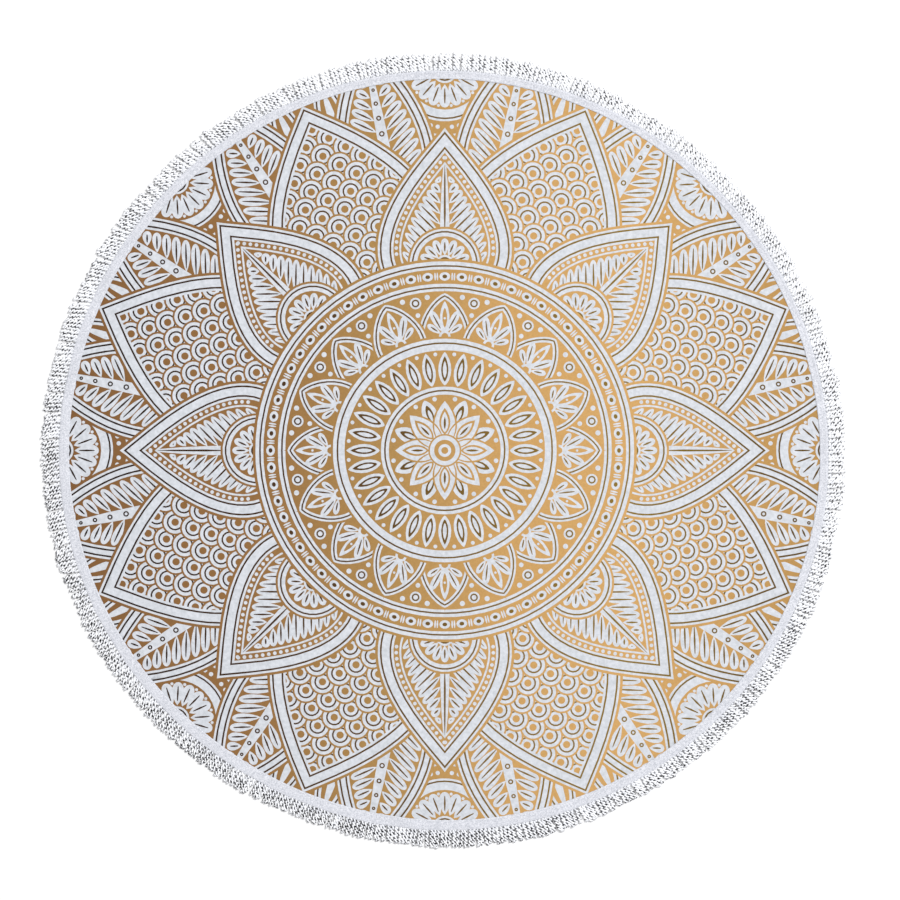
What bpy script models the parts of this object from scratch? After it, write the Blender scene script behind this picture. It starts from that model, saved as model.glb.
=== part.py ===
"""A round beach towel lying flat: the printed cloth, the heading tape sewn on its margin, and the corded fringe.

Metres, +Z up. The origin is on the underside, at the middle of the towel's outer box. +X is the long way across,
because the towel lies a little out of round.
"""

import math

import bmesh
import bpy
import numpy as np

# The towel across its fringe tips, and what the fringe and the tape take of it.
TOWEL_DIAMETER = 1.50
FRINGE_LENGTH = 0.034
TAPE_WIDTH = 0.018

CLOTH_THICKNESS = 0.0025
TAPE_THICKNESS = 0.0012
FRINGE_THICKNESS = 0.0040
PIECE_GAP = 0.0003

# The fringe lies in bunches of four cords, each a tooth of the comb, with a slit between two bunches.
BUNCHES = 160
SLIT_WIDTH = 0.0022
COMB_ROOT = 0.0045
TIP_CROWN = 0.0012

CLOTH_RADIUS = TOWEL_DIAMETER / 2 - FRINGE_LENGTH
TIP_RADIUS = TOWEL_DIAMETER / 2
BUNCH_ANGLE = math.tau / BUNCHES
SLIT_ANGLE = SLIT_WIDTH / CLOTH_RADIUS

# How far the edge leaves a true circle as the towel lies: waves round the edge, their height, and one crest's angle.
EDGE_WAVES = (
    {"waves": 2, "height": 0.0050, "crest_deg": -12.0},
    {"waves": 3, "height": 0.0020, "crest_deg": -35.0},
    {"waves": 4, "height": 0.0014, "crest_deg": 2.0},
)

# Bunches differ in length: waves round the edge, the change in length, and where the longest bunch lies.
LENGTH_WAVES = (
    {"waves": 1, "height": 0.0016, "crest_deg": 195.0},
    {"waves": 7, "height": 0.0007, "crest_deg": 20.0},
    {"waves": 23, "height": 0.0008, "crest_deg": 5.0},
    {"waves": 41, "height": 0.0007, "crest_deg": 3.0},
)

GOLD_INK_ON_WHITE = (0.80, 0.66, 0.47, 1.0)
TAPE_WHITE = (0.84, 0.86, 0.91, 1.0)
FRINGE_WHITE = (0.90, 0.91, 0.93, 1.0)
CLOTH_ROUGHNESS = 0.95


def clear_scene():
    for old in list(bpy.data.objects):
        bpy.data.objects.remove(old, do_unlink=True)


def fabric(name, colour):
    material = bpy.data.materials.new(name)
    material.use_nodes = True
    shader = material.node_tree.nodes["Principled BSDF"]
    shader.inputs["Base Color"].default_value = colour
    shader.inputs["Roughness"].default_value = CLOTH_ROUGHNESS
    shader.inputs["Metallic"].default_value = 0.0
    return material


def wave_sum(angles, waves):
    """The sum of the table's cosine waves at each angle."""
    total = np.zeros_like(angles)
    for row in waves:
        crest = math.radians(row["crest_deg"])
        total += row["height"] * np.cos(row["waves"] * (angles - crest))
    return total


def edge_angles():
    """Two angles for each bunch of the fringe: its first side and its last, half a slit in from its share."""
    first = np.arange(BUNCHES) * BUNCH_ANGLE + SLIT_ANGLE / 2
    last = first + BUNCH_ANGLE - SLIT_ANGLE
    return np.stack([first, last], axis=1).ravel()


def loop_at(radius, angles):
    """Points of the uneven outline whose mean radius is this, lying on z = 0."""
    r = radius + wave_sum(angles, EDGE_WAVES)
    return np.stack([r * np.cos(angles), r * np.sin(angles), np.zeros_like(r)], axis=1)


def tip_loops():
    """The corners of each bunch's end, and the middle of its end, which stands out a little."""
    angles = edge_angles()
    middles = angles.reshape(-1, 2).mean(axis=1)
    reach = TIP_RADIUS + wave_sum(middles, LENGTH_WAVES)
    corners = loop_at(np.repeat(reach, 2), angles)
    crowns = loop_at(reach + TIP_CROWN, middles)
    return corners, crowns


def box_centre():
    """The middle of the fringe's outer box, which is the towel's."""
    points = np.concatenate(tip_loops())
    middle = (points.min(axis=0) + points.max(axis=0)) / 2
    middle[2] = 0.0
    return middle


def add_loop(mesh, points, centre):
    return [mesh.verts.new(point) for point in points - centre]


def join_loops(mesh, inner, outer):
    """A flat band of four-sided faces between two loops of the same count, facing up."""
    for i, corner in enumerate(inner):
        j = (i + 1) % len(inner)
        mesh.faces.new((corner, outer[i], outer[j], inner[j]))


def raise_faces(mesh, bottom, thickness):
    """Makes the flat faces a solid of this thickness, standing on z = bottom."""
    bmesh.ops.translate(mesh, vec=(0, 0, bottom), verts=mesh.verts)
    made = bmesh.ops.extrude_face_region(mesh, geom=list(mesh.faces))
    lifted = [v for v in made["geom"] if isinstance(v, bmesh.types.BMVert)]
    bmesh.ops.translate(mesh, vec=(0, 0, thickness), verts=lifted)
    bmesh.ops.recalc_face_normals(mesh, faces=list(mesh.faces))


def add_part(name, mesh, material):
    data = bpy.data.meshes.new(name)
    mesh.to_mesh(data)
    mesh.free()
    data.materials.append(material)
    part = bpy.data.objects.new(name, data)
    bpy.context.scene.collection.objects.link(part)
    return part


def make_cloth(centre):
    """The cloth: one round sheet, cut to the fringe's root, with its margin under the tape."""
    mesh = bmesh.new()
    mesh.faces.new(add_loop(mesh, loop_at(CLOTH_RADIUS, edge_angles()), centre))
    raise_faces(mesh, 0.0, CLOTH_THICKNESS)
    return add_part("printed_cloth", mesh, fabric("printed microfibre terry", GOLD_INK_ON_WHITE))


def make_tape(centre):
    """The heading tape: a flat ring on the cloth's margin, flush with the cloth's edge."""
    angles = edge_angles()
    mesh = bmesh.new()
    inner = add_loop(mesh, loop_at(CLOTH_RADIUS - TAPE_WIDTH, angles), centre)
    outer = add_loop(mesh, loop_at(CLOTH_RADIUS, angles), centre)
    join_loops(mesh, inner, outer)
    raise_faces(mesh, CLOTH_THICKNESS + PIECE_GAP, TAPE_THICKNESS)
    return add_part("heading_tape", mesh, fabric("woven white tape", TAPE_WHITE))


def make_fringe(centre):
    """The fringe: one comb round the cloth's edge, a tooth for each bunch of cords."""
    angles = edge_angles()
    mesh = bmesh.new()
    inner = add_loop(mesh, loop_at(CLOTH_RADIUS + PIECE_GAP, angles), centre)
    root = add_loop(mesh, loop_at(CLOTH_RADIUS + COMB_ROOT, angles), centre)
    join_loops(mesh, inner, root)
    corner_points, crown_points = tip_loops()
    corners = add_loop(mesh, corner_points, centre)
    crowns = add_loop(mesh, crown_points, centre)
    for bunch, crown in enumerate(crowns):
        first, last = 2 * bunch, 2 * bunch + 1
        mesh.faces.new((root[first], corners[first], crown, corners[last], root[last]))
    raise_faces(mesh, 0.0, FRINGE_THICKNESS)
    return add_part("corded_fringe", mesh, fabric("twisted white cord", FRINGE_WHITE))


clear_scene()
towel_centre = box_centre()
make_cloth(towel_centre)
make_tape(towel_centre)
make_fringe(towel_centre)
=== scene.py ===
import math

import bpy
import numpy as np
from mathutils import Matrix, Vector
from mathutils.geometry import delaunay_2d_cdt


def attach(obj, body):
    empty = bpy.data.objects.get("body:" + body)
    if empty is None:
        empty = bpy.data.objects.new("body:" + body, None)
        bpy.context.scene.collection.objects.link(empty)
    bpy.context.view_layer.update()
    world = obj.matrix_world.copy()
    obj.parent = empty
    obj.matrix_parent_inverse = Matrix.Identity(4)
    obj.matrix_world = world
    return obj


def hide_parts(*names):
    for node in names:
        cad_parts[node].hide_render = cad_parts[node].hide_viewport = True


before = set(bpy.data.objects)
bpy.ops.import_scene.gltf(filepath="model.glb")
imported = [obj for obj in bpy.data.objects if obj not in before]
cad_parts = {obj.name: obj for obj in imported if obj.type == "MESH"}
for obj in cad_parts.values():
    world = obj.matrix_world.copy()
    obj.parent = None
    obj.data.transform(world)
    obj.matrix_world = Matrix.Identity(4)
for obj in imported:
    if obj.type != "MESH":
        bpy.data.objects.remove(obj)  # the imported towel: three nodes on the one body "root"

# A round beach towel lying flat: cloth printed with a gold lotus on white, a woven tape sewn on its margin,
# and a fringe of twisted cords. All sizes but the studio's are in millimetres, which makePiece turns to
# metres. A place on the plane is one complex number, x + iy, measured from the middle of the round.
mm = 0.001
fullTurn = 2 * math.pi
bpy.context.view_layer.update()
rng = np.random.default_rng(41)


def spin(angle):
    # a step of length one in this direction
    return np.exp(1j * angle)


# the outline, read off the frame's nodes

def nodeSpokes(node):
    # the corners of a CAD node, seen from above, as complex numbers in mm
    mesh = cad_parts[node].data
    corners = np.empty(3 * len(mesh.vertices))
    mesh.vertices.foreach_get("co", corners)
    corners = np.round(corners.reshape(-1, 3) / mm, 3)
    return np.unique(corners[:, 0] + 1j * corners[:, 1])


middle = nodeSpokes("printed_cloth").mean()


def outlineOf(node, least=0.0, most=math.inf):
    # radius against angle, from the corners that lie between these two distances from the middle
    spokes = nodeSpokes(node) - middle
    spokes = spokes[(np.abs(spokes) > least) & (np.abs(spokes) < most)]
    spokes = spokes[np.argsort(np.angle(spokes))]
    return np.angle(spokes), np.abs(spokes)


def radiusAt(outline, angle):
    # the outline's radius in this direction, in proportion between its corners
    return np.interp(angle, *outline, period=fullTurn)


clothEdge = outlineOf("printed_cloth")
meanEdge = clothEdge[1].mean()
# the tape's inner edge is more than 9 mm in from the cloth's, and the fringe's tips more than 15 mm out
tapeInside = outlineOf("heading_tape", most=meanEdge - 9.0)
fringeTips = outlineOf("corded_fringe", least=meanEdge + 15.0)
tapeWidth = meanEdge - tapeInside[1].mean()
print(f"outline: cloth {meanEdge:.1f} mm, tape {tapeWidth:.1f} wide, fringe to {fringeTips[1].mean():.1f}")


def edgeAt(angle):
    # the cloth's radius in this direction
    return radiusAt(clothEdge, angle)


# how the towel lies

lie = {
    "bodyLift": 0.45,  # mm, how high the cloth stands off the floor over its middle
    "bodyLength": 190.0,  # from crest to crest
    "edgeLift": 0.75,  # more at the edge, which nothing holds down
    "edgeLength": 74.0,
    "edgeReach": 130.0,  # how far in from the edge that goes
}


def ripples(place, length, first=0.0, count=9):
    # an uneven field of about -2 to 2: the sum of plane waves of about this length, each turned from the
    # one before by the golden angle
    k = np.arange(count)
    size = length * (0.75 + 0.5 * (0.618 * k % 1))
    phase = fullTurn * (np.asarray(place)[..., None] * np.exp(-2.4j * k)).real / size
    return np.sin(phase + 1.7 * k * k + first).sum(axis=-1) * math.sqrt(2 / count)


def softRise(field):
    # nothing below zero and straight above it, with a round foot between the two
    return (field + np.sqrt(field * field + 0.16)) / 2


def smoothStep(low, high, value):
    # 0 up to the low one, 1 from the high one, and 3t^2 - 2t^3 between the two
    t = np.clip((value - low) / (high - low), 0, 1)
    return t * t * (3 - 2 * t)


def liftAt(place):
    # height over the floor: long low swells all over, and shorter ones that grow towards the edge
    towardsEdge = smoothStep(meanEdge - lie["edgeReach"], meanEdge, np.abs(place))
    body = lie["bodyLift"] * softRise(ripples(place, lie["bodyLength"]))
    edge = lie["edgeLift"] * softRise(ripples(place, lie["edgeLength"], 2.0))
    return body + towardsEdge * edge


# making meshes and materials

def makePiece(name, place, height, faceSets, materials):
    # points are complex places and heights in mm; faces are arrays of corner rows, each with its slot
    spots = place + middle
    points = np.stack([spots.real, spots.imag, height], axis=-1) * mm
    mesh = bpy.data.meshes.new(name)
    mesh.from_pydata(points.tolist(), [], [row for rows, slot in faceSets for row in rows.tolist()])
    slots = np.repeat([slot for rows, slot in faceSets], [len(rows) for rows, slot in faceSets])
    mesh.polygons.foreach_set("material_index", slots.astype(np.int32))
    for material in materials:
        mesh.materials.append(material)
    mesh.shade_smooth()
    mesh.update()
    piece = bpy.data.objects.new(name, mesh)
    bpy.context.scene.collection.objects.link(piece)
    triangles = sum(len(rows) * (rows.shape[1] - 2) for rows, slot in faceSets)
    print(f"{name}: {triangles} triangles, {mesh.validate() or 'clean'}")
    return piece


def gridCells(rows, columns, wrapRows, wrapColumns):
    # the row, the column and the point's number for each cell's four corners. On a wrapped side the row or
    # column counts on past the last, and the number starts again
    i, j = np.meshgrid(np.arange(rows - 1 + wrapRows), np.arange(columns - 1 + wrapColumns), indexing="ij")
    row = np.stack([i, i, i + 1, i + 1], axis=-1).reshape(-1, 4)
    column = np.stack([j, j + 1, j + 1, j], axis=-1).reshape(-1, 4)
    return row, column, row % rows * columns + column % columns


def addMap(piece, name, *parts):
    # a UV map from complex values, u + iv, one for each face corner in the order of the faces
    spots = np.concatenate([part.ravel() for part in parts])
    layer = piece.data.uv_layers.new(name=name)
    layer.data.foreach_set("uv", np.stack([spots.real, spots.imag], axis=-1).ravel().astype(np.float32))


def linear(hexCode):
    # sRGB hex to linear: c / 12.92 up to 0.04045, and ((c + 0.055) / 1.055) ^ 2.4 above it
    c = np.array([int(hexCode[i:i + 2], 16) for i in (0, 2, 4)]) / 255
    return (*np.where(c <= 0.04045, c / 12.92, ((c + 0.055) / 1.055) ** 2.4).tolist(), 1.0)


def setInputs(node, inputs):
    # each input takes a value, or a link from a socket or from a node, which stands for its first output
    for name, value in inputs.items():
        if isinstance(value, bpy.types.Node):
            value = value.outputs[0]
        if isinstance(value, bpy.types.NodeSocket):
            node.id_data.links.new(value, node.inputs[name])
        else:
            node.inputs[name].default_value = value


def addNode(tree, kind, inputs=None, stops=(), **settings):
    # a new node with its settings, its inputs and, for a colour ramp, its (position, hex colour) stops
    node = tree.nodes.new("ShaderNode" + kind)
    for name, value in settings.items():
        setattr(node, name, value)
    setInputs(node, inputs or {})
    for number, (position, hexCode) in enumerate(stops):
        elements = node.color_ramp.elements
        stop = elements[number] if number < len(elements) else elements.new(position)
        stop.position = position
        stop.color = linear(hexCode)
    return node


def newMaterial(name, roughness, sheen=0.0):
    # a matt fibre: cotton and polyester both have an index of refraction close to 1.45. Its node tree, its
    # shader and the object coordinates come back with it
    material = bpy.data.materials.new(name)
    material.use_nodes = True
    tree = material.node_tree
    shader = tree.nodes["Principled BSDF"]
    setInputs(shader, {"Roughness": roughness, "Metallic": 0.0, "IOR": 1.45, "Sheen Weight": sheen})
    return material, tree, shader, addNode(tree, "TexCoord").outputs["Object"]


def shiftValue(tree, colour, factor, low, high):
    # the colour made darker or lighter, from low to high times, as the factor goes from 0.3 to 0.7
    value = addNode(tree, "MapRange",
                    {"Value": factor, "From Min": 0.3, "From Max": 0.7, "To Min": low, "To Max": high})
    return addNode(tree, "HueSaturation", {"Value": value, "Color": colour})


# the print: an eight-petalled lotus, drawn for one sixteenth of the round and mirrored from one to the next

printSizes = {
    "radius": 700.0,  # mm, 2 mm past the tape's inner edge
    "shares": 16,
    "chord": 0.30,  # how far a straight side may leave its curve
    "straight": 0.03,  # a point nearer than this to the line past it is left out,
    "passes": 8,  # in this many passes
    "leafStart": 11.0,  # how far out from its stem a feather's leaflet starts,
    "leafLeast": 12.0,  # and how far out the shortest ends
    "slit": 1.75,  # half the width of the slit in a leaf
    "gridStep": 18.0,  # of the points in the open spaces,
    "gridSpan": (20.0, 692.0),  # the radius where they start and end,
    "gridClear": 6.0,  # and how far they stay from the outlines
    "gridTurn": 0.01,  # and, in radians, from the wedge's sides
    "onSide": 2e-3,  # a point nearer than this to a side of the wedge is put on it
}
white, gold, fine, back = 0, 1, 2, 3  # tones and slots: fine is for thin lines, back for the underside
wedge = fullTurn / printSizes["shares"]
artwork = []  # bottom layer first: (outline, tone, number of the outline that it stays inside)


def evenChords(side):
    # keeps points where the running sum of sqrt(turn x step / 8 chord) passes whole numbers, so that all
    # straight sides are equally far off their curve
    side = side[np.r_[True, np.abs(np.diff(side)) > 1e-6]]
    leg = np.diff(side)
    turn = np.abs(np.angle(leg[1:] / leg[:-1]))
    bend = np.r_[turn[:1], (turn[1:] + turn[:-1]) / 2, turn[-1:]]
    run = np.r_[0, np.cumsum(np.sqrt(bend * np.abs(leg) / (8 * printSizes["chord"])))]
    count = max(math.ceil(run[-1]), 1)
    at = np.interp(np.linspace(0, run[-1], count + 1), run, np.arange(len(side)))
    return np.interp(at, np.arange(len(side)), side)


def disc(centre, radius, squash=1.0):
    # a circle, or an ellipse squashed along the line to the middle of the round
    count = max(math.ceil(math.pi / math.acos(1 - printSizes["chord"] / radius)), 8)
    angle = fullTurn * (np.arange(count) + 0.5) / count
    return centre + radius * (squash * np.cos(angle) + 1j * np.sin(angle)) * spin(np.angle(centre))


def slicedDisc(radius):
    # the share of a disc round the middle that the wedge needs, and a little over on both sides
    spare = 0.02
    count = max(math.ceil(math.sqrt(radius / (8 * printSizes["chord"])) * wedge), 3)
    return np.r_[0, radius * spin(np.linspace(-spare, wedge + spare, count + 1))]


def leafSide(base, tip, halfWidth, p, q):
    # one side of a leaf that lies on the real axis: its half width goes as t^p (1 - t)^q. A power of 0.5
    # gives a round end, 1 a plain point, and more than 1 a drawn-out one
    t = (1 - np.cos(np.linspace(0, math.pi, 161))) / 2
    peak = p ** p * q ** q / (p + q) ** (p + q)
    return base + (tip - base) * t + 1j * halfWidth * t ** p * (1 - t) ** q / peak


def insetSide(side, depth):
    # the side moved square to itself by this depth, less what crosses the axis or comes nearer than that
    if depth == 0:
        return side
    along = np.gradient(side)
    moved = side - 1j * depth * along / np.abs(along)
    if depth < 0:
        return np.r_[moved[0].real, moved, moved[-1].real - 1.2 * depth]
    nearest = np.abs(moved[:, None] - side[None, :]).min(axis=1)
    moved = moved[(nearest > depth - 0.05) & (moved.imag > 0)]
    fall = moved[-2].imag - moved[-1].imag
    tip = moved[-1].real + (moved[-1] - moved[-2]).real * moved[-1].imag / max(fall, 1e-3) * (fall > 0)
    return np.r_[moved[0].real, moved, tip]


def closed(side, turn=0.0, foot=0.0):
    # the side and its mirror image as one outline, turned, with its zero set down at the foot
    side = evenChords(side)
    both = np.r_[side, side[::-1].conj()]
    both = both[np.abs(both - np.roll(both, 1)) > 1e-3]
    return foot + both * spin(turn)


def lay(outline, tone, within=None):
    # puts an outline on top of the drawing. Its number comes back
    artwork.append((outline, tone, within))
    return len(artwork) - 1


def layLeaf(span, halfWidth, shape, tone, turn=0.0, foot=0.0, within=None):
    # a leaf of this shape, its powers p and q, that spans these two distances from its foot
    return lay(closed(leafSide(*span, halfWidth, *shape), turn, foot), tone, within)


def layLeaves(leaves, shape, turn, foot=0.0, within=None):
    # leaves of one shape, each on the one before
    for span, halfWidth, tone in leaves:
        layLeaf(span, halfWidth, shape, tone, turn, foot, within)


def laySlitLeaf(span, halfWidth, inset, turn, foot, within=None, slit=printSizes["slit"]):
    # a white leaf with a slit that starts and ends this far inside it
    layLeaf(span, halfWidth, (0.9, 0.5), white, turn, foot, within)
    layLeaf((span[0] + inset, span[1] - inset), slit, (0.5, 0.5), fine, turn, foot, within)


def layDiscs(centre, layers, within=None):
    # discs of one centre, each on the one before. Round the middle they are the wedge's share of a disc
    for radius, tone in layers:
        lay(disc(centre, radius) if centre else slicedDisc(radius), tone, within)


def layNest(side, layers, turn):
    # one outline inside the other: a ribbon with its lines. The number of the innermost comes back
    for depth, tone in layers:
        innermost = lay(closed(insetSide(side, depth), turn), tone)
    return innermost


def ringTurns(count, first=0.0):
    # the turns of those of a ring of motifs that show in the wedge
    turns = (first + np.arange(-1, count // printSizes["shares"] + 3)) * fullTurn / count
    return turns[(turns > -0.75 * fullTurn / count) & (turns < wedge + 0.75 * fullTurn / count)]


def layBeads(side, start, end, step, radius, turn):
    # beads along a side and its mirror image, evenly spaced by its own length
    side = side[(side.real > start) & (side.real < end)]
    run = np.r_[0, np.cumsum(np.abs(np.diff(side)))]
    at = np.interp(np.arange(step / 2, run[-1], step), run, side)
    for centre in np.r_[at, at.conj()]:
        lay(disc(centre * spin(turn), radius), white)


def layFeather(side, stops, lean, halfWidth, gap, turn, within):
    # pairs of leaflets along a stem, each as long as the outline round it leaves room for
    for stop in stops:
        seen = (side - stop) * spin(-lean)
        reach = np.interp(0.0, -seen.imag, seen.real) - gap
        if reach > printSizes["leafLeast"]:
            foot = stop * spin(turn)
            for way in (turn - lean, turn + lean):
                laySlitLeaf((printSizes["leafStart"], reach), halfWidth, 6, way, foot, within)


def layFan(foot, leaves, spacing, span, halfWidth, facing=0.0):
    # a fan of leaves round a foot, each with a slit
    for k in range(leaves):
        laySlitLeaf(span, halfWidth, 7, facing + spacing * (k - (leaves - 1) / 2), foot)


wideRibbon = ((-5, gold), (0, white), (4, fine), (7.2, white), (22, fine), (25.2, white), (29.5, gold))
slimRibbon = ((-5, gold), (0, white), (4, fine), (7.2, white), (16, fine), (19.2, white), (23.5, gold))


def drawRim():
    # half flowers on the border, with arcs that spread from them like rings on water
    lay(slicedDisc(725), gold)
    foot = 714 + 0j
    for radius in range(224, 120, -11):
        layDiscs(foot, ((radius, white), (radius - 4.5, gold)))
    for k in range(-9, 10):
        lay(disc(foot - 107 * np.exp(0.125j * k), 4.2), white)
    layDiscs(foot, ((100, gold), (96, white), (92, fine), (89, white), (74, gold)))
    layFan(foot, 7, 0.36, (26, 70), 11.0, math.pi)
    for k in range(-3, 3):
        lay(disc(foot - 67 * np.exp(0.36j * (k + 0.5)), 3.0), white)
    layDiscs(foot, ((24, white), (20, fine), (17, white)))
    turn = 0.327
    layers = ((-4, gold), (0, white), (4, fine), (7, white), (12, gold))
    layNest(leafSide(585, 745, 30, 0.6, 0.8), layers, turn)
    layLeaf((622, 712), 7, (0.7, 0.8), white, turn)


def drawOuterPetals():
    # long leaves with a feather inside, its stem set with small rings
    turn = wedge / 2
    side = leafSide(430, 790, 92, 0.6, 0.95)
    ground = layNest(side, slimRibbon, turn)
    layFeather(insetSide(side, 23.5), np.arange(494, 720, 22), 0.95, 8.6, 3.5, turn, ground)
    layLeaf((440, 755), 10.5, (0.6, 0.8), white, turn, 0, ground)
    for reach, radius in ((690, 3.6), (664, 4.4), (636, 5.0), (606, 5.4), (576, 5.0)):
        layDiscs(reach * spin(turn), ((radius, fine), (radius - 2.6, white)), ground)


def drawBackPetals():
    # broad petals filled with overlapping fish scales
    ground = layNest(leafSide(300, 700, 158, 0.6, 1.05), wideRibbon, wedge)
    scale = ((25, gold), (21.5, white), (15.5, fine), (12.5, white), (7, gold))
    for n, reach in enumerate(np.arange(652, 350, -27)):
        for k in range(-4, 2):
            across = 46 * (k + 0.5 * (n % 2))
            if -130 < across < 30:
                layDiscs((reach + 1j * across) * spin(wedge), scale, ground)


def drawFrontPetals():
    # the nearest petals: a beaded border, a second outline, a feather, and a small fan at the foot
    side = leafSide(250, 606, 126, 0.62, 1.1)
    ground = layNest(side, wideRibbon + ((40.5, white), (44, gold)), 0)
    layBeads(insetSide(side, 34.8), 362, 556, 11.5, 3.6, 0)
    layFeather(insetSide(side, 45), np.arange(276, 540, 20), 0.80, 8.0, 3.0, 0, ground)
    layLeaf((330, 556), 9, (0.4, 0.8), white, 0, 0, ground)
    layLeaf((412, 544), 2, (0.5, 0.8), fine, 0, 0, ground)
    foot = 350 + 0j
    layDiscs(foot, ((70, gold), (66, white), (62, fine), (59, white), (52, gold)))
    layFan(foot, 7, 0.42, (16, 48), 7.6)
    layDiscs(foot, ((17, white), (13, fine), (10, white)))


def drawBeadBand():
    # pointed beads between two striped rings
    layDiscs(0, ((360, gold), (355, white), (348, fine), (345, white), (340, gold)))
    for turn in ringTurns(64):
        lay(disc(326.5 * spin(turn), 10.2, 0.8), white)
        lay(disc(326.5 * spin(turn), 4.6, 0.8), fine)
    for turn in ringTurns(64, 0.5):
        layLeaf((319, 334), 1.7, (0.5, 0.5), white, turn - 0.0066)
        layLeaf((319, 334), 1.7, (0.5, 0.5), white, turn + 0.0066)
    layDiscs(0, ((313, white), (307, fine), (304, white), (299, gold)))


def drawArches():
    # an arcade of pointed arches, a sprig in each
    for turn in ringTurns(16, 0.5):
        spoke = spin(turn)
        layDiscs(281 * spoke, ((11, white), (7.4, fine), (4.6, white)))
        for reach, lean, radius in ((289, -0.082, 5.0), (289, 0.082, 5.0), (258, 0, 4.6), (244, 0, 3.4)):
            lay(disc(reach * spoke * spin(lean), radius), white)
    for turn in ringTurns(16):
        side = leafSide(160, 295, 49, 0.5, 0.72)
        ground = layNest(side, ((-4, gold), (0, white), (3.6, fine), (6.4, white), (10.5, gold)), turn)
        foot = 214 * spin(turn)
        for lean, reach, half in ((-0.98, 39, 6.0), (0.98, 39, 6.0), (-0.5, 54, 7.4), (0.5, 54, 7.4)):
            laySlitLeaf((9, reach), half, 7, turn + lean, foot, ground, 1.5)
        layLeaves((((2, 66), 9.0, white), ((16, 54), 4.6, gold)), (0.8, 0.8), turn, foot, ground)
        lay(disc(248 * spin(turn), 2.4), white, ground)
        layDiscs(foot, ((11, white), (6.5, gold)), ground)


def drawLancets():
    # a ring of narrow pointed panes
    layDiscs(0, ((214, gold), (210, white), (203, fine), (200, white), (188, gold)))
    for turn in ringTurns(32, 0.5):
        lay(disc(181 * spin(turn), 3.8), white)
    for turn in ringTurns(32):
        panes = (((122, 185), 12.2, white), ((129, 177), 6.8, fine), ((136, 168), 3.8, white))
        layLeaves(panes, (0.75, 0.85), turn)
    layDiscs(0, ((120, white), (114, fine), (111, white), (105, gold)))


def drawHeart():
    # the small flower in the middle, two rows of eight petals round a button
    for turn in ringTurns(16, 0.5):
        lay(disc(98 * spin(turn), 4.4), white)
    for turn in ringTurns(8, 0.5):
        petals = (((34, 101), 14.5, white), ((51, 91), 6.6, fine), ((58, 82), 3.4, white))
        layLeaves(petals, (0.9, 0.75), turn)
    for turn in ringTurns(8):
        petals = (((6, 97), 23, gold), ((6, 93), 20, white), ((30, 80), 10.5, gold), ((34, 73), 7, white),
                  ((40, 64), 2.2, fine))
        layLeaves(petals, (0.8, 0.95), turn)
    layDiscs(0, ((31, gold), (28, white), (20, gold), (12, white), (6.5, gold)))


def holds(outline, points):
    # even-odd rule: a point is inside where an odd number of sides cross the level line to its right
    a, b = outline[:, None], np.roll(outline, -1)[:, None]
    crosses = (a.imag > points.imag) != (b.imag > points.imag)
    onLeft = ((b - a).conj() * (points - a)).imag > 0
    return (crosses & (onLeft == (b.imag > a.imag))).sum(axis=0) % 2 == 1


def tonesAt(points):
    # the tone of the topmost outline that holds each point, and -1 off the wedge
    tones = np.full(len(points), white)
    stencils = {within for outline, tone, within in artwork}
    kept = {}
    for number, (outline, tone, within) in enumerate(artwork):
        near = np.flatnonzero((points.real > outline.real.min()) & (points.real < outline.real.max())
                              & (points.imag > outline.imag.min()) & (points.imag < outline.imag.max()))
        covered = np.zeros(len(points), bool)
        covered[near] = holds(outline, points[near])
        if within is not None:
            covered &= kept[within]
        if number in stencils:
            kept[number] = covered
        tones[covered] = tone
    inWedge = (points.imag > 0) & (np.angle(points) < wedge) & (np.abs(points) < printSizes["radius"])
    return np.where(inWedge, tones, -1)


def splitPlane(points, edges, kind):
    # constrained Delaunay: kind 2 only cuts the edges where they cross, 0 fills the hull with triangles and
    # 1 the inside of the edges
    corners = [Vector((z.real, z.imag)) for z in points.tolist()]
    made = delaunay_2d_cdt(corners, edges.tolist(), [], kind, 1e-4, False)
    place = np.array([v[:] for v in made[0]])
    return place[:, 0] + 1j * place[:, 1], np.array(made[1]), made[2]


def shownOutlines():
    # all outlines cut where they cross, and of those pieces the ones with another tone on each side
    border = np.r_[0, printSizes["radius"] * spin(np.linspace(0, wedge, 25))]
    outlines = [border] + [outline for outline, tone, within in artwork]
    starts = np.cumsum([0] + [len(outline) for outline in outlines[:-1]])
    edges = [start + np.stack([np.arange(len(z)), (np.arange(len(z)) + 1) % len(z)], axis=1)
             for start, z in zip(starts, outlines)]
    place, edges, _ = splitPlane(np.concatenate(outlines), np.concatenate(edges), 2)
    a, b = place[edges[:, 0]], place[edges[:, 1]]
    beside = 0.02j * (b - a) / np.abs(b - a)
    shown = tonesAt((a + b) / 2 + beside) != tonesAt((a + b) / 2 - beside)
    edges = edges[shown]
    for _ in range(printSizes["passes"]):
        edges = dropStraight(place, edges)
    used, ends = np.unique(edges, return_inverse=True)
    return place[used], ends.reshape(-1, 2)


def dropStraight(place, edges):
    # takes out points that only two edges share and that lie on the line past them, such as those where
    # hidden outlines crossed; of neighbours only the one that draws the lowest lot goes
    ends = np.concatenate([edges, edges[:, ::-1]])
    ends = ends[np.argsort(ends[:, 0], kind="stable")]
    number, first, count = np.unique(ends[:, 0], return_index=True, return_counts=True)
    number, first = number[count == 2], first[count == 2]
    before, after = ends[first, 1], ends[first + 1, 1]
    chord = place[after] - place[before]
    off = np.abs(((place[number] - place[before]) * chord.conj()).imag) / np.maximum(np.abs(chord), 1e-6)
    straight = (off < printSizes["straight"]) & (before != after)
    lot = np.full(len(place), math.inf)
    lot[number[straight]] = rng.random(straight.sum())
    gone = lot[number] < np.minimum(lot[before], lot[after])
    touched = np.isin(edges, number[gone]).any(axis=1)
    return np.concatenate([edges[~touched], np.stack([before[gone], after[gone]], axis=1)])


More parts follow.
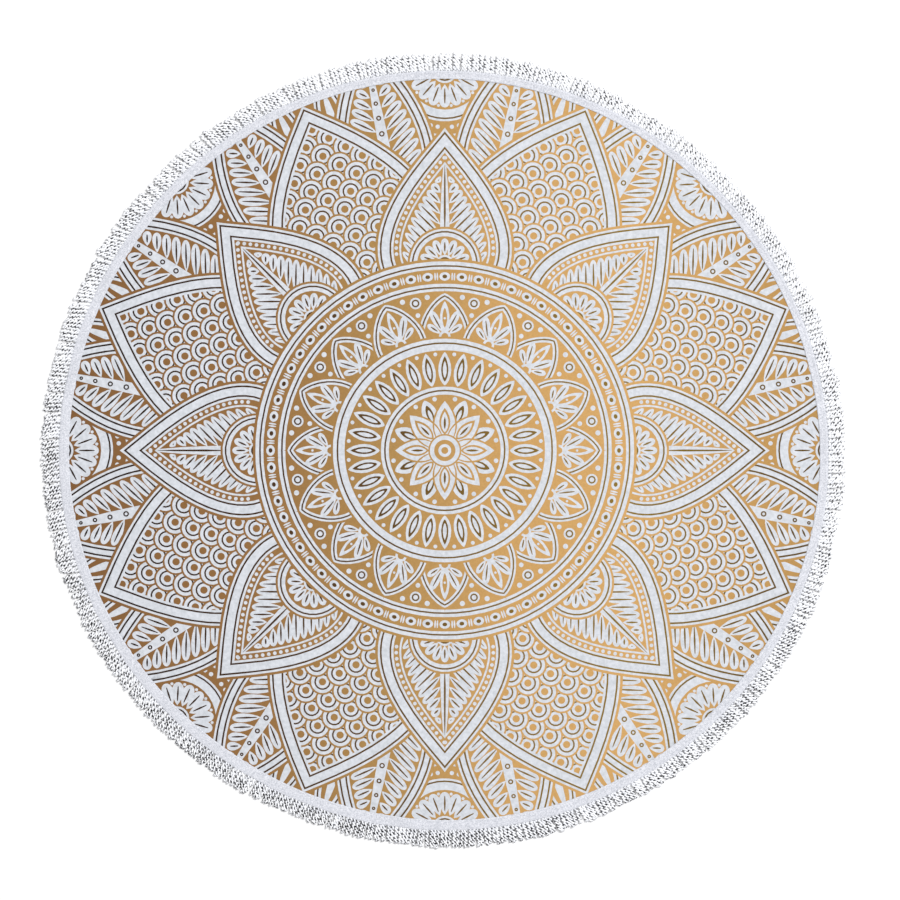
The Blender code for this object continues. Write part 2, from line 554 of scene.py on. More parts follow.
def hexGrid(step, reach):
    # points of a triangular lattice over a square of this half side
    rows = np.arange(-math.ceil(reach / step), math.ceil(reach / step) + 1)
    across, up = np.meshgrid(rows, rows)
    return ((across + 0.5 * (up % 2)) * step + 1j * up * step * math.sqrt(0.75)).ravel()


def printWedge():
    # triangles of one tone each, from the shown outlines and lattice points in the open spaces
    place, edges = shownOutlines()
    lattice = hexGrid(printSizes["gridStep"], printSizes["radius"])
    (first, last), turn = printSizes["gridSpan"], printSizes["gridTurn"]
    lattice = lattice[(np.abs(lattice) < last) & (np.abs(lattice) > first)
                      & (np.angle(lattice) > turn) & (np.angle(lattice) < wedge - turn)]
    clear = np.abs(lattice[:, None] - place[None, :]).min(axis=1) > printSizes["gridClear"]
    place, edges, triangles = splitPlane(np.r_[place, lattice[clear]], edges, 0)
    triangles = np.array(triangles)
    tones = tonesAt(place[triangles].mean(axis=1))
    slanted = spin(wedge)
    onLevel = np.abs(place.imag) < printSizes["onSide"]
    onSlant = np.abs((place / slanted).imag) < printSizes["onSide"]
    place = np.where(onLevel, place.real, np.where(onSlant, (place / slanted).real * slanted, place))
    kept = (tones >= 0) & ~onLevel[triangles].all(axis=1) & ~onSlant[triangles].all(axis=1)
    return place, triangles[kept], tones[kept]


def wholePrint():
    # the wedge and its mirror image, turned to all their places, with the points on their borders made one
    place, triangles, tones = printWedge()
    turns = np.exp(2j * wedge * np.arange(printSizes["shares"] // 2))[:, None]
    allPlaces = np.concatenate([turns * place, turns * place.conj()]).ravel()
    shift = len(place) * np.arange(printSizes["shares"])[:, None, None]
    both = np.repeat([triangles, triangles[:, ::-1]], printSizes["shares"] // 2, axis=0) + shift
    rounded = np.round(allPlaces.real, 3) + 0.0 + 1j * (np.round(allPlaces.imag, 3) + 0.0)
    welded, number = np.unique(rounded, return_inverse=True)
    corners = number.ravel()[both.reshape(-1, 3)]
    whole = (np.diff(np.sort(corners, axis=1), axis=1) > 0).all(axis=1)
    return welded, corners[whole], np.tile(tones, printSizes["shares"])[whole]


# the cloth

clothSizes = {
    "thickness": 2.5,  # mm
    "backStep": 18.0,  # of the points of the underside
    # margin and rolled rim: how far out from the edge, and how high, from the print round to the back
    "rim": ((-9.0, 2.5), (-1.6, 2.5), (-0.55, 2.3), (0.0, 1.35), (-0.45, 0.3), (-1.5, 0.0)),
    "widest": 3,  # the row of the rim where the back's material begins
    "bakeHalf": 0.24,  # half a round's width in the bake picture,
    "bakeClear": 12.0,  # with this many mm left clear round it
}


def warpToEdge(place):
    # moves the true round's points out or in by the cube of their radius, so that the print's border
    # follows the uneven edge of the cloth
    drawn = printSizes["radius"]
    spare = drawn - (meanEdge - tapeWidth)
    target = edgeAt(np.angle(place)) - tapeWidth + spare
    return place * (1 + (target / drawn - 1) * (np.abs(place) / drawn) ** 3)


def borderOf(place, triangles):
    # the points on edges that only one triangle has, in order round the middle
    edges = np.concatenate([triangles[:, [0, 1]], triangles[:, [1, 2]], triangles[:, [2, 0]]])
    edges = np.sort(edges, axis=1)
    keys, counts = np.unique(edges[:, 0] * len(place) + edges[:, 1], return_counts=True)
    once = keys[counts == 1]
    loop = np.unique(np.r_[once // len(place), once % len(place)])
    print(f"print: {len(triangles)} triangles, {len(once)} border edges for {len(loop)} points")
    return loop[np.argsort(np.angle(place[loop]))]


def makeCloth():
    # front: the printed triangles. Rim: a profile carried round the front's border. Back: a lattice disc
    front, triangles, tones = wholePrint()
    loop = borderOf(front, triangles)
    angle = np.angle(front[loop])
    front = warpToEdge(front)
    rim = np.array(clothSizes["rim"])
    rimPlace = (edgeAt(angle) + rim[:, :1]) * spin(angle)
    lattice = hexGrid(clothSizes["backStep"], meanEdge)
    lattice = lattice[np.abs(lattice) < edgeAt(np.angle(lattice)) - 0.6 * clothSizes["backStep"]]
    count = len(loop)
    ring = np.stack([np.arange(count), (np.arange(count) + 1) % count], axis=1)
    backPlace, _, backFaces = splitPlane(np.r_[rimPlace[-1], lattice], ring, 1)

    place = np.concatenate([front, rimPlace[:-1].ravel(), rimPlace[-1], backPlace[count:]])
    height = np.concatenate([np.full(len(front), clothSizes["thickness"]), np.repeat(rim[:-1, 1], count),
                             np.zeros(len(backPlace))]) + liftAt(place)
    rimNumbers = len(front) + np.arange(len(rim) * count).reshape(len(rim), count)
    rows = np.concatenate([loop[None, :], rimNumbers])
    row, _, cells = gridCells(len(rows), count, False, True)
    walls = rows.ravel()[cells][:, ::-1]
    upper = row[:, 0] < clothSizes["widest"] + 1
    backCorners = np.array(backFaces)[:, ::-1] + rimNumbers[-1, 0]
    faceSets = [(triangles[tones == tone], tone) for tone in (white, gold, fine)]
    faceSets += [(walls[upper], white), (walls[~upper], back), (backCorners, back)]
    cloth = makePiece("printedCloth", place, height, faceSets, clothMaterials())

    # for baking, each slot has its own quarter of the picture, with the rim laid out flat round it
    border = printSizes["radius"]
    run = np.abs(np.diff(np.r_[[[border - meanEdge, rim[0, 1]]], rim], axis=0) @ [1, 1j])
    spread = (border + np.cumsum(run))[:, None]
    topSpot, backSpot = place.copy(), place.copy()
    topSpot[rimNumbers] = spread * spin(angle)
    backSpot[rimNumbers] = (meanEdge + rim[-1, 0] + spread[-1] - spread) * spin(angle)
    corners = np.concatenate([rows.ravel() for rows, slot in faceSets])
    slots = np.repeat([slot for rows, slot in faceSets], [rows.size for rows, slot in faceSets])
    spot = np.where(slots == back, backSpot[corners], topSpot[corners])
    spot = spot * clothSizes["bakeHalf"] / (meanEdge + clothSizes["bakeClear"])
    addMap(cloth, "OFBake", 0.25 + 0.25j + 0.5 * (slots % 2 + 1j * (slots // 2)) + spot)
    return cloth


def addPile(tree, shader, spot, loop, depth):
    # short pile: loops of this many mm, and soft clumps several times as wide, coarser than they are so
    # that they show from above
    loops = addNode(tree, "TexNoise", {"Vector": spot, "Scale": 1 / (loop * mm)})
    clumps = addNode(tree, "TexNoise", {"Vector": spot, "Scale": 1 / (4.5 * loop * mm)})
    height = addNode(tree, "Math", {0: loops, 1: clumps}, operation="ADD")
    bump = addNode(tree, "Bump", {"Height": height, "Distance": depth * mm, "Strength": 1.0})
    setInputs(shader, {"Normal": bump})


def whiteTerry():
    # sheared polyester terry, undyed: matt, a little blue, with the faint cloudiness of brushed pile
    material, tree, shader, spot = newMaterial("sheared white terry", 0.95, 0.15)
    addPile(tree, shader, spot, 1.5, 0.35)
    cloudy = addNode(tree, "TexNoise", {"Vector": spot, "Scale": 1 / (6.0 * mm), "Detail": 4.0})
    colour = addNode(tree, "ValToRGB", {"Fac": cloudy}, ((0.3, "c2c6cc"), (0.7, "d8dbe2")))
    setInputs(shader, {"Base Color": colour})
    return material


def inkOnTerry(name, stops):
    # ink printed into the pile: as matt as the terry, browner at the left, palest right of the middle, and
    # thinner here and there where the pile stood up
    material, tree, shader, spot = newMaterial(name, 0.9, 0.02)
    addPile(tree, shader, spot, 1.5, 0.3)
    x = addNode(tree, "SeparateXYZ", {"Vector": spot})
    across = addNode(tree, "MapRange", {"Value": x, "From Min": -0.7, "From Max": 0.7})
    colour = addNode(tree, "ValToRGB", {"Fac": across}, stops)
    mottled = addNode(tree, "TexNoise", {"Vector": spot, "Scale": 1 / (4.0 * mm), "Detail": 3.0})
    setInputs(shader, {"Base Color": shiftValue(tree, colour, mottled, 0.93, 1.06)})
    return material


def loopedBack():
    # the underside's uncut loops, 2.2 mm apart: white, matt, rougher to the eye than the sheared face
    material, tree, shader, spot = newMaterial("looped terry back", 0.95, 0.15)
    loops = addNode(tree, "TexVoronoi", {"Vector": spot, "Scale": 1 / (2.2 * mm)})
    relief = {"Height": loops, "Distance": 0.7 * mm, "Strength": 0.8}
    bump = addNode(tree, "Bump", relief, invert=True)
    # painted shade: greyer between the loops, where they dip, and lighter on their tops
    colour = addNode(tree, "ValToRGB", {"Fac": loops}, ((0.1, "e4e6ec"), (0.8, "cfd2da")))
    setInputs(shader, {"Normal": bump, "Base Color": colour})
    return material


def clothMaterials():
    # in the order of their slots. Both inks go from the left of the towel to its right
    goldStops = ((0.0, "79532c"), (0.09, "815b32"), (0.25, "8c6538"), (0.42, "a58049"), (0.58, "c2975b"),
                 (0.75, "ca9e61"), (0.91, "b98f54"), (1.0, "ae864c"))
    fineStops = ((0.0, "221102"), (0.09, "281403"), (0.25, "3c2307"), (0.42, "563b0f"), (0.58, "795d20"),
                 (0.75, "846925"), (0.91, "644b13"), (1.0, "563f10"))
    return [whiteTerry(), inkOnTerry("gold ink on terry", goldStops),
            inkOnTerry("fine-line ink on terry", fineStops), loopedBack()]


# the heading tape

tapeSizes = {
    "stations": 1440,
    "bottom": 2.8,  # mm, its underside: 0.3 over the cloth
    "shift": 5.0,  # how much narrower it shows at the upper right,
    "shiftWay": 0.8,  # in this direction, in radians
    # its section: how far out from the cloth's edge, and how high over its own underside; the outer
    # selvedge folds down over the roots of the fringe
    "section": ((-17.7, 0.05), (-18.0, 0.22), (-17.8, 0.48), (-16.9, 0.88), (-15.6, 0.84), (-12.0, 1.06),
                (-9.0, 1.14), (-5.5, 1.1), (-2.6, 1.0), (-0.9, 1.12), (0.6, 1.0), (1.7, 0.62), (2.0, 0.2),
                (1.4, 0.0), (0.1, 0.0), (-3.0, 0.03), (-9.0, 0.03)),
    "wander": 0.3,  # mm, of its outer edge to each side,
    "wanderLength": 120.0,  # from one wave to the next
    "pucker": 0.16,  # up and down along the stitching
    "puckerLength": 17.0,
    "bakeStrips": 12,  # the bake picture has the ring cut into this many strips
    "stitch": 3.4,  # mm
    "stitchGap": 0.9,
    "stitchRows": ((-15.6, 1.04), (-2.6, 1.22)),  # where, and how high over the tape's underside
    "threadHalf": 0.33,
}


def tapeShift(angle, spot=2.0):
    # how far in from its usual line a spot of the tape lies; the outer edge is sewn in at the upper right
    inward = tapeSizes["shift"] * (1 + np.cos(angle - tapeSizes["shiftWay"])) / 2
    return inward * smoothStep(-11.0, 0.0, spot)


def makeTape():
    # a closed section carried round the edge, lifted with the cloth and lightly puckered
    section = np.array(tapeSizes["section"])
    count = tapeSizes["stations"]
    angle = fullTurn * np.arange(count)[:, None] / count
    ring = spin(angle)
    wander = tapeSizes["wander"] * ripples(meanEdge * ring, tapeSizes["wanderLength"], 4.0)
    out = section[:, 0] - tapeShift(angle, section[:, 0]) + wander * smoothStep(-9.0, 1.0, section[:, 0])
    place = (edgeAt(angle) + out) * ring
    # the middle of the tape, 9 mm in, puckers least
    held = np.exp(-((section[:, 0] + 9.0) / 7.5) ** 2)
    pucker = tapeSizes["pucker"] * ripples(meanEdge * ring, tapeSizes["puckerLength"], 1.0)
    pucker = pucker * np.clip(1 - held, 0.25, 1)
    onTop = smoothStep(0.3, 1.0, section[:, 1])
    base = np.minimum(np.abs(place), edgeAt(angle)) * ring
    height = tapeSizes["bottom"] + section[:, 1] + onTop * (pucker + 0.1) + liftAt(base)
    row, column, corners = gridCells(count, len(section), True, True)
    tape = makePiece("headingTape", place.ravel(), height.ravel(), [(corners, 0)], [wovenTape()])
    run = np.r_[0, np.cumsum(np.abs(np.diff(np.r_[section, section[:1]] @ [1, 1j])))]
    length = fullTurn * meanEdge
    addMap(tape, "WeaveMap", (row * length / count + 1j * run[column]) * mm)
    strips = tapeSizes["bakeStrips"]
    strip = row[:, :1] * strips // count
    across = 0.08 + 0.84 * run[column] / run[-1]
    addMap(tape, "OFBake", row * strips / count - strip + 1j * (strip + across) / strips)
    return tape


def wovenTape():
    # plain-woven cotton tape: a soft matt thread in ribs of 2.6 by 2.2 mm, with painted shade greyer
    # between them and painted light on them; twice their real size, so that they show from above
    material, tree, shader, spot = newMaterial("woven cotton tape", 0.85, 0.1)
    weave = addNode(tree, "UVMap", uv_map="WeaveMap")
    ribs = []
    for direction, spacing in (("X", 2.6), ("Y", 2.2)):
        # a wave texture's bands repeat every 2 pi / (20 x scale)
        scale = fullTurn / (20 * spacing * mm)
        bands = {"Vector": weave, "Scale": scale, "Distortion": 1.2, "Detail": 1.0, "Detail Scale": 0.6}
        ribs.append(addNode(tree, "TexWave", bands, bands_direction=direction).outputs["Fac"])
    height = addNode(tree, "Math", {0: ribs[0], 1: ribs[1]}, operation="MULTIPLY")
    bump = addNode(tree, "Bump", {"Height": height, "Distance": 0.45 * mm, "Strength": 0.9})
    cloudy = addNode(tree, "TexNoise", {"Vector": spot, "Scale": 1 / (2.6 * mm), "Detail": 3.0})
    colour = addNode(tree, "ValToRGB", {"Fac": cloudy}, ((0.32, "c0c3cc"), (0.68, "ecedf4")))
    # painted light and shade: the colour lighter on the ribs and greyer between them
    setInputs(shader, {"Normal": bump, "Base Color": shiftValue(tree, colour, height, 0.96, 1.12)})
    return material


def makeStitches():
    # two rows of lockstitch: each stitch is a half ellipse of thread between two needle holes, four rings
    # of four sides, sunk at both ends
    pitch = tapeSizes["stitch"] + tapeSizes["stitchGap"]
    t = np.linspace(-1, 1, 4)
    side = fullTurn * (np.arange(4) + 0.5) / 4
    groups = []
    for offset, rise in tapeSizes["stitchRows"]:
        count = round(fullTurn * (meanEdge + offset) / pitch)
        centre = fullTurn * (np.arange(count) + 0.5) / count
        angle = centre[:, None] + t * tapeSizes["stitch"] / 2 / (meanEdge + offset)
        girth = tapeSizes["threadHalf"] * np.sqrt(1.12 - t * t)[None, :, None]
        line = edgeAt(angle) + offset - tapeShift(angle, offset)
        radius = line[..., None] + girth * np.cos(side)
        place = radius * spin(angle)[..., None]
        top = tapeSizes["bottom"] + rise - 0.35 * t * t
        height = top[None, :, None] + girth * np.sin(side) + liftAt(place)
        groups.append((place.reshape(count, -1), height.reshape(count, -1)))
    place, height = (np.concatenate(parts) for parts in zip(*groups))
    cells = gridCells(4, 4, False, True)[2]
    ends = np.array([[0, 3, 2, 1], [12, 13, 14, 15]])
    oneStitch = np.concatenate([cells[:, ::-1], ends[:, ::-1]])
    corners = (16 * np.arange(len(place))[:, None, None] + oneStitch).reshape(-1, 4)
    return makePiece("tapeStitching", place.ravel(), height.ravel(), [(corners, 0)], [sewingThread()])


def sewingThread():
    # spun polyester thread: white, smoother than the tape, with a slight lustre
    material, tree, shader, spot = newMaterial("spun sewing thread", 0.6, 0.1)
    twist = addNode(tree, "TexNoise", {"Vector": spot, "Scale": 1 / (0.5 * mm)})
    bump = addNode(tree, "Bump", {"Height": twist, "Distance": 0.08 * mm, "Strength": 0.6})
    setInputs(shader, {"Normal": bump, "Base Color": linear("e6e8ee")})
    return material


# the fringe

cord = {
    "cords": 620,
    "rings": 28,  # along the yarn, which runs out to the tip and back
    "sides": 5,
    "root": 1.6,  # mm, from the cloth's edge to the yarn's start, less the tape's shift there
    "yarnHalf": 1.70,
    "plyOffset": 1.40,  # from the cord's middle to a ply's
    "pitch": 13.4,  # of one full twist of the two plies
    "squash": 0.76,  # the cord lies a little flat,
    "swell": 1.18,  # each ply spreads sideways,
    "nest": 1.35,  # and so does their twist;
    "slump": 3.8,  # mm, how far out what lies low spreads, to the next cord; a third more at the tips
    "looseWay": -2.2,  # radians, their most open side, the lower left, away from the lamp: there the painted shade is deepest
    "loose": 0.11,  # how much thinner than the mean they are there
    "uneven": 0.10,  # one standard deviation of their spacing, girth and pitch
    "wander": 0.6,  # mm to each side
    "snake": 0.5,  # the same in step with the twist, which slants the hollows
    "ragged": 7.0,  # mm, between the longest and the shortest
    "bunchShare": 0.22,  # the share of cords that start a new bunch
    "bunchLean": 0.045,  # radians, one standard deviation
    "cordLean": 0.04,
    "waveLean": 0.04,  # the same of a slow sway round the towel
    "mostLean": 0.42,
    "gather": 0.05,  # how far the tips of a bunch draw together
    "twistWave": 1.3,  # radians, how far the twist's start strays round the towel,
    "twistOdd": 0.35,  # and from one cord to the next
    "overRim": 3.9,  # mm, the height of the cords' tops over the cloth's rim
    # how they are combed aside: the angle round the towel, and their lean anticlockwise there, in degrees
    "combed": ((8, 0), (22, 0), (37, -8), (52, 0), (112, 2), (127, 13), (172, 15), (187, 6), (202, 0),
               (217, 0), (232, -11), (262, -5), (277, 0), (292, 8), (307, 0), (352, 5)),
    # painted shade, mostly in the hollows between them: 0 is white, and from 0.6 on black, before the
    # patches
    "rim": 0.42,  # the share of a cord's height where its hollow begins,
    "rimLoose": 0.06,  # more on the loose side, away from the lamp,
    "rimNarrow": 0.29,  # and more where one ply lies over the other
    "rimDepth": 0.09,  # how far below that the paint is at 1,
    "deepest": 2.6,  # and the most that it comes to
    "plies": 0.1,  # what the painted shade in the groove between the plies adds
    "seamPaint": 0.12,  # the share of all this that shows at the seam,
    "nearPaint": 0.7,  # what the first 20 mm add to that share,
    "farPaint": 0.42,  # what those from 12 to 26 mm add,
    "loosePaint": 0.3,  # and how much more painted shade there is on the loose side
    "tips": 0.62,  # the share that the tips lose,
    "tipsLoose": 0.38,  # less on the loose side, away from the lamp
    "tipShadow": 0.8,  # painted shadow on the outer faces of the loose side's tips,
    "least": 0.05,  # and the least near the seam
    "below": 0.12,  # for faces that look down, how far above the middle the paint is at 1
    "bakeColumns": 31,  # of the bake picture, a cord in each cell
}


def aroundNoise(angle, waves):
    # smooth seeded noise round the ring, of about one standard deviation: cosines of these numbers of waves
    amount = rng.normal(size=len(waves))
    phase = rng.uniform(0, fullTurn, len(waves))
    total = (amount * np.cos(angle[..., None] * np.array(waves) + phase)).sum(axis=-1)
    return total * math.sqrt(2 / (amount ** 2).sum())


def cordLines():
    # for each cord: its angle, its length, how far its tip leans to the side, its twist's start, and its
    # girth and pitch against the mean
    count = cord["cords"]
    uneven = cord["uneven"] * rng.normal(size=(3, count))
    angle = fullTurn * (np.arange(count) + 0.5 + uneven[0]) / count
    bunch = np.cumsum(rng.random(count) < cord["bunchShare"])
    turns, leans = np.array(cord["combed"]).T
    lean = np.radians(np.interp(np.degrees(angle), turns, leans, period=360))
    lean = lean + cord["waveLean"] * aroundNoise(angle, range(30, 64))
    lean = lean + cord["bunchLean"] * rng.normal(size=count)[bunch]
    lean = lean + cord["cordLean"] * rng.normal(size=count)
    length = radiusAt(fringeTips, angle) - edgeAt(angle) - cord["root"] + tapeShift(angle)
    length = length - cord["ragged"] * (rng.random(count)[bunch] + rng.random(count)) / 2
    members = np.bincount(bunch, minlength=bunch[-1] + 1)
    bunchMiddle = (np.bincount(bunch, angle) / np.maximum(members, 1))[bunch]
    gather = cord["gather"] * (bunchMiddle - angle) * meanEdge
    side = length * np.sin(np.clip(lean, -cord["mostLean"], cord["mostLean"])) + gather
    phase = cord["twistWave"] * aroundNoise(angle, range(9, 40))
    phase = phase + rng.normal(0, cord["twistOdd"], count)
    return angle, length, side, phase, 1 + uneven[1], 1 + 0.25 * uneven[2]


def makeFringe():
    # each cord is one yarn that runs out to the tip, turns in a small loop and twists back round itself.
    # Its middle circles the cord's clockwise at the ply offset, half a turn on for the way back. The axes
    # of the arrays are the cords, the rings along each yarn and the points round each ring
    angle, length, side, phase, girth, pitch = (value[:, None, None] for value in cordLines())
    number = np.arange(len(angle))[:, None, None]
    t = np.linspace(0, 1, cord["rings"])[:, None]
    out = 1 - np.abs(2 * t - 1) ** 1.12
    reach = length * np.clip(out / out.max(), 0, 1)
    share = reach / length
    twist = phase + 0.35 * np.sin(0.45 * reach + 3.9 * number)
    twist = twist - fullTurn * reach / (pitch * cord["pitch"]) - math.pi * smoothStep(0.455, 0.545, t)
    loose = np.cos(angle - cord["looseWay"])
    grow = girth * (0.85 + 0.15 * smoothStep(0, 4, reach)) * (1 - cord["loose"] * loose)
    spoke = spin(angle)
    line = side * share ** 1.2 + cord["wander"] * np.sin(0.37 * reach + 2.4 * number)
    line = line + cord["snake"] * np.sin(2 * twist)
    sway = line + cord["nest"] * cord["plyOffset"] * grow * np.cos(twist)
    seam = edgeAt(angle) + cord["root"] - tapeShift(angle)
    forward = np.sqrt(np.maximum(reach ** 2 - (side * share) ** 2, 0.0))
    place = (seam + forward + 1j * sway) * spoke
    half, flat = cord["yarnHalf"], cord["squash"]
    full = flat * (cord["plyOffset"] + half)
    middleHeight = full + flat * cord["plyOffset"] * np.sin(twist)

    # the yarn's own round section, square to its path, and then how it slumps
    centre = np.stack([place.real, place.imag, middleHeight], axis=-1)
    along = np.gradient(centre, axis=1)
    along /= np.linalg.norm(along, axis=-1, keepdims=True)
    sideways = 1j * spoke * np.cos(twist)
    outward = np.stack([sideways.real, sideways.imag, np.sin(twist)], axis=-1)
    across = np.cross(along, outward)
    across /= np.linalg.norm(across, axis=-1, keepdims=True)
    outward = np.cross(across, along)
    ringAngle = fullTurn * np.arange(cord["sides"]) / cord["sides"]
    ring = np.cos(ringAngle)[:, None] * outward + np.sin(ringAngle)[:, None] * across
    facing = ring[..., 2]
    fromYarn = half * (ring[..., 0] + 1j * ring[..., 1]) / spoke
    fromYarn = fromYarn.real + 1j * cord["swell"] * grow * fromYarn.imag
    spots = place + fromYarn * spoke
    level = np.maximum(middleHeight + half * flat * facing, 0.02) / (2 * full)
    aside = (spots / spoke).imag - line
    low = (1 - smoothStep(0.3, 0.6, level)) * (1 - smoothStep(0.85, 0.97, share))
    slump = cord["slump"] * (1 + 0.35 * share)
    spread = np.clip(2.1 * aside, -slump, slump) - aside
    spots = spots + 1j * spoke * low * np.where(spread * aside > 0, spread, 0)
    # over the cloth's rim a cord is thin and as high as the tape, beyond it slopes down to the floor
    beyond = np.abs(spots) - edgeAt(angle)
    under = tapeSizes["bottom"] * (1 - smoothStep(-0.5, 4.5, beyond))
    over = cord["overRim"] + (2 * full - cord["overRim"]) * smoothStep(0, 7, beyond)
    heights = under + (over - under) * level + liftAt(seam * spoke) * (1 - share)

    cords, rings, sides = spots.shape
    row, column, cells = gridCells(rings, sides, False, True)
    first = rings * sides * np.arange(cords)[:, None, None]
    ends = np.array([np.arange(sides)[::-1], (rings - 1) * sides + np.arange(sides)])
    headPlace, headHeight, headCells = headingStrip()
    faceSets = [((first + cells).reshape(-1, 4), 0), ((first + ends).reshape(-1, sides), 0),
                (headCells + spots.size, 0)]
    fringe = makePiece("cordedFringe", np.r_[spots.ravel(), headPlace], np.r_[heights.ravel(), headHeight],
                       faceSets, [twistedCord()])

    # painted shade, kept in a point attribute: the groove between the plies, the hollows between the cords,
    # their undersides and the loose side's tips; the heading under the tape gets a light, even painted
    # shade
    paintedShade = np.clip((1 - np.cos(ringAngle)) / 1.81, 0, 1) ** 1.5 * np.exp(-(aside / 1.6) ** 2)
    narrow = smoothStep(0.15, 0.7, np.sin(twist) ** 2)
    ahead = smoothStep(0.3, 0.9, fromYarn.real / half)
    shade = hollowShade(reach, share, loose, narrow, level, paintedShade, ahead, facing)
    shade = np.r_[shade.ravel(), np.full(len(headPlace), 0.1)].astype(np.float32)
    fringe.data.attributes.new("paintedShade", "FLOAT", "POINT").data.foreach_set("value", shade)
    addCordMaps(fringe, row, column, len(headCells))
    return fringe


def hollowShade(reach, share, loose, narrow, level, paintedShade, ahead, facing):
    # painted shade: by how far a point lies below its hollow's rim, or, where the face looks down, above
    # the middle;
    # less at the seam and at the tips of the tight side, more on the loose side, away from the lamp. On the
    # loose side the tips' outer faces get painted shadow too
    fade = cord["seamPaint"] + cord["nearPaint"] * smoothStep(0, 20, reach)
    fade = (fade + cord["farPaint"] * smoothStep(12, 26, reach)) * (1 + cord["loosePaint"] * loose)
    tip = smoothStep(0.80 + 0.14 * loose, 1.0 + 0.08 * loose, share)
    fade = fade * (1 - np.clip(cord["tips"] - cord["tipsLoose"] * loose, 0, 1) * tip)
    rim = cord["rim"] + cord["rimLoose"] * loose + cord["rimNarrow"] * narrow
    hollow = np.clip((rim - level) / cord["rimDepth"], -1, cord["deepest"]) + cord["plies"] * paintedShade
    outer = cord["tipShadow"] * np.clip(loose, 0, 1) * smoothStep(0.88, 1.0, share) * ahead
    least = cord["least"] * (1 - smoothStep(2, 18, reach))
    shade = np.maximum(np.maximum(hollow * fade, outer), least)
    return np.where(facing < -0.45, np.clip((level - 0.5) / cord["below"], -1, 1) * fade, shade)


def addCordMaps(fringe, row, column, headCount):
    # YarnMap runs along and round the yarn for its fibres. For baking, each cord has a cell of a grid, its
    # ends at the top of that, and the heading has the last row of the grid
    cords, rings, sides, columns = (cord[key] for key in ("cords", "rings", "sides", "bakeColumns"))
    rows = cords // columns + 1
    each = np.zeros((cords, 1, 1))
    u, v = each + row / (rings - 1), column / sides
    turn = np.arange(sides) / sides
    head = np.tile((0, 1j, 1 + 1j, 1), headCount)
    addMap(fringe, "YarnMap", u + 1j * v, each + np.array([[0], [1]]) + 1j * turn, head)
    bottom, left = np.divmod(np.arange(cords)[:, None, None], columns)
    capRing = 0.03 * spin(fullTurn * turn) + np.zeros((2, 1))
    slot = np.repeat(np.arange(headCount), 4)
    addMap(fringe, "OFBake", (left + 0.08 + 0.84 * v) / columns + 1j * (bottom + 0.06 + 0.78 * u) / rows,
           (left + 0.5 + 8 * capRing.real) / columns + 1j * (bottom + 0.9 + capRing.imag) / rows,
           (slot + 0.2 + 0.6 * head.real) / headCount + 1j * (rows - 0.8 + 0.6 * head.imag) / rows)


def headingStrip():
    # the fringe's own narrow heading, out of sight under the tape: a flat band that all the cords come from
    section = np.array(((0.4, 0.35), (2.4, 0.35), (2.4, 1.95), (0.4, 1.95)))
    count = cord["cords"]
    angle = fullTurn * np.arange(count)[:, None] / count
    place = (edgeAt(angle) + section[:, 0]) * spin(angle)
    height = section[:, 1] + liftAt(edgeAt(angle) * spin(angle))
    return place.ravel(), height.ravel(), gridCells(count, 4, True, True)[2]


def twistedCord():
    # two-ply bulky cotton cord: soft and matt, bright white on its crests, with fine fibres that run along
    # the yarn, and painted shade that darkens the hollows between the cords, in some places more than in
    # others
    material, tree, shader, spot = newMaterial("twisted cotton cord", 0.9, 0.25)
    # YarnMap goes from 0 to 1 along some 68 mm and round some 11 mm: the fibres are about 1.1 by 0.6 mm
    yarn = addNode(tree, "UVMap", uv_map="YarnMap")
    slant = addNode(tree, "Mapping", {"Vector": yarn, "Rotation": (0, 0, 0.5), "Scale": (30, 9, 1)})
    fibres = addNode(tree, "TexNoise", {"Vector": slant, "Scale": 2.0, "Detail": 3.0})
    bump = addNode(tree, "Bump", {"Height": fibres, "Distance": 0.3 * mm, "Strength": 0.7})
    wide = addNode(tree, "TexNoise", {"Vector": spot, "Scale": 1 / (42.0 * mm)})
    small = addNode(tree, "TexNoise", {"Vector": spot, "Scale": 1 / (8.0 * mm)})
    patches = addNode(tree, "Math", {0: wide, 1: small}, operation="ADD")
    # patches where the painted shade is deeper or fainter
    depth = addNode(tree, "MapRange",
                    {"Value": patches, "From Min": 0.78, "From Max": 1.25, "To Min": 0.25, "To Max": 2.4})
    paintedShade = addNode(tree, "Attribute", attribute_name="paintedShade").outputs["Fac"]
    darkness = addNode(tree, "Math", {0: paintedShade, 1: depth}, operation="MULTIPLY")
    # the painted shade's ramp: the cord's own white at 0, black from 0.6 on
    stops = ((0.0, "f8f9fc"), (0.12, "eaecf2"), (0.3, "999ba5"), (0.45, "33343c"), (0.6, "09090d"))
    colour = addNode(tree, "ValToRGB", {"Fac": darkness}, stops)
    setInputs(shader, {"Normal": bump, "Base Color": colour})
    return material


# floor, light and camera, in metres but for the lens and its sensor

studio = {
    "photoWidth": 1.689,  # m of floor that the picture takes in
    "lens": 85.0,
    "sensor": 36.0,
    "aimX": 0.013,
    "keyPlace": (8.8, 6.9, 11.2),
    "keySize": 4.0,
    "keyPower": 1760.0,
    "worldLight": 0.68,
    "floorSize": 40.0,
}


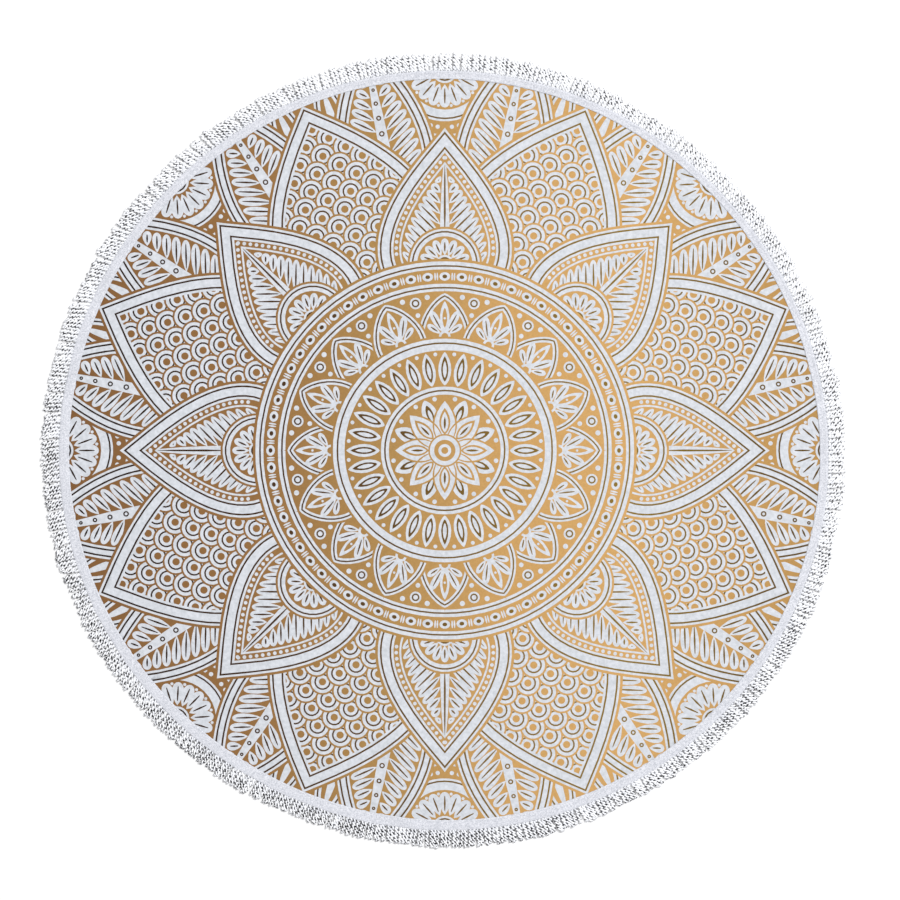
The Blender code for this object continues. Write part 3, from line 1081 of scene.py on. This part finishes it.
def makeFloor():
    # one level square, a hair below the towel
    half = studio["floorSize"] / 2 / mm
    corners = np.array([-half - 1j * half, half - 1j * half, half + 1j * half, -half + 1j * half])
    faceSets = [(np.arange(4)[None, :], 0)]
    floor = makePiece("paleFloor", corners, np.full(4, -0.05), faceSets, [paintedFloor()])
    return floor


def paintedFloor():
    # matt white studio paint, bright and even
    material, tree, shader, spot = newMaterial("matt white paint", 0.9)
    cloudy = addNode(tree, "TexNoise", {"Vector": spot, "Scale": 1 / (300.0 * mm)})
    colour = addNode(tree, "ValToRGB", {"Fac": cloudy}, ((0.3, "f8f8f9"), (0.7, "fafafb")))
    setInputs(shader, {"Base Color": colour})
    return material


def makeStudio():
    # a large soft lamp up to the right, an even white world, and a camera straight above
    lamp = bpy.data.lights.new("keyLamp", "AREA")
    lamp.shape = "DISK"
    lamp.size = studio["keySize"]
    lamp.energy = studio["keyPower"]
    key = bpy.data.objects.new("keyLamp", lamp)
    key.location = studio["keyPlace"]
    key.rotation_euler = Vector(studio["keyPlace"]).to_track_quat("Z", "Y").to_euler()
    world = bpy.data.worlds.new("evenWorld")
    world.use_nodes = True
    light = {"Color": (1, 1, 1, 1), "Strength": studio["worldLight"]}
    setInputs(world.node_tree.nodes["Background"], light)
    bpy.context.scene.world = world
    lens = bpy.data.cameras.new("photoCamera")
    lens.lens = studio["lens"]
    lens.sensor_width = studio["sensor"]
    camera = bpy.data.objects.new("photoCamera", lens)
    camera.location = (studio["aimX"], 0, studio["photoWidth"] * studio["lens"] / studio["sensor"])
    for thing in (key, camera):
        bpy.context.scene.collection.objects.link(thing)
    bpy.context.scene.camera = camera
    bpy.context.scene.view_settings.view_transform = "Standard"


makeStudio()
floor = makeFloor()
for draw in (drawRim, drawOuterPetals, drawBackPetals, drawFrontPetals, drawBeadBand, drawArches,
             drawLancets, drawHeart):
    draw()
print(f"print: {len(artwork)} outlines drawn")
cloth = makeCloth()
tape = makeTape()
stitches = makeStitches()
fringe = makeFringe()

for piece in (cloth, tape, stitches, fringe):
    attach(piece, "root")
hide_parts("printed_cloth")
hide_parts("heading_tape")
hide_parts("corded_fringe")
print("all pieces made")
